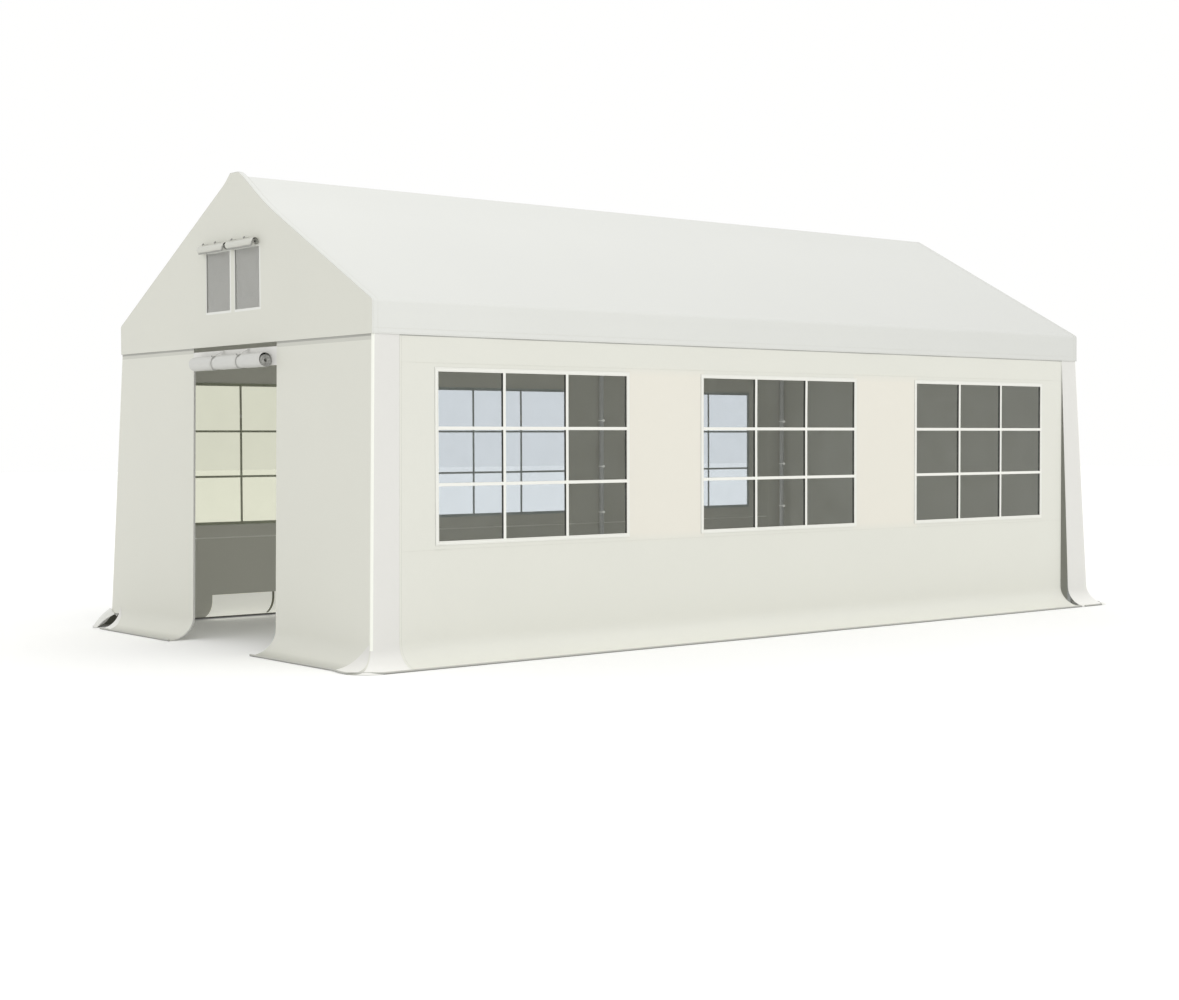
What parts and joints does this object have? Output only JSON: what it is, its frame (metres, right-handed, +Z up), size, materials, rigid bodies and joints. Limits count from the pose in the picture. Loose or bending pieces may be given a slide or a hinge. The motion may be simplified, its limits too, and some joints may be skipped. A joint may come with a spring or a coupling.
{
  "type": "marquee tent",
  "caption": "White gable-roofed marquee tent on a steel tube frame, with window walls, a rolled-up front door, gable vents and skirts that flare out on the ground.",
  "frame": {"origin": "centre of the footprint at ground level, the underside of the foot plates and of the skirt tips", "axes": "+Z up, +Y along the length from the open front gable to the closed back gable, +X to the right seen from the front"},
  "size_m": [3.37, 6.37, 2.752],
  "materials": {
    "steel": "galvanised tube, satin",
    "roof_fabric": "white coated fabric, slight sheen",
    "wall_fabric": "off-white coated fabric, slight sheen",
    "window_film": "clear flexible film, glossy",
    "vent_mesh": "grey open mesh, matte"
  },
  "bodies": {
    "root": {"roof_bow_front": "steel", "roof_bow_second": "steel", "roof_bow_third": "steel", "roof_bow_back": "steel", "leg_right_1": "steel", "leg_right_2": "steel", "leg_right_3": "steel", "leg_right_4": "steel", "eave_rail_right_1": "steel", "eave_rail_right_2": "steel", "eave_rail_right_3": "steel", "leg_left_1": "steel", "leg_left_2": "steel", "leg_left_3": "steel", "leg_left_4": "steel", "eave_rail_left_1": "steel", "eave_rail_left_2": "steel", "eave_rail_left_3": "steel", "ridge_rail_1": "steel", "ridge_rail_2": "steel", "ridge_rail_3": "steel", "roof_cover": "roof_fabric", "gable_front": "roof_fabric", "end_wall_front": "wall_fabric", "vent_screen_front_1": "vent_mesh", "vent_roll_front_1": "roof_fabric", "vent_screen_front_2": "vent_mesh", "vent_roll_front_2": "roof_fabric", "gable_back": "roof_fabric", "end_wall_back": "wall_fabric", "vent_screen_back_1": "vent_mesh", "vent_roll_back_1": "roof_fabric", "vent_screen_back_2": "vent_mesh", "vent_roll_back_2": "roof_fabric", "door_roll_front": "wall_fabric", "door_panel_back": "wall_fabric", "side_wall_right": "wall_fabric", "window_film_right_1": "window_film", "window_film_right_2": "window_film", "window_film_right_3": "window_film", "side_wall_left": "wall_fabric", "window_film_left_1": "window_film", "window_film_left_2": "window_film", "window_film_left_3": "window_film"}
  },
  "joints": []
}
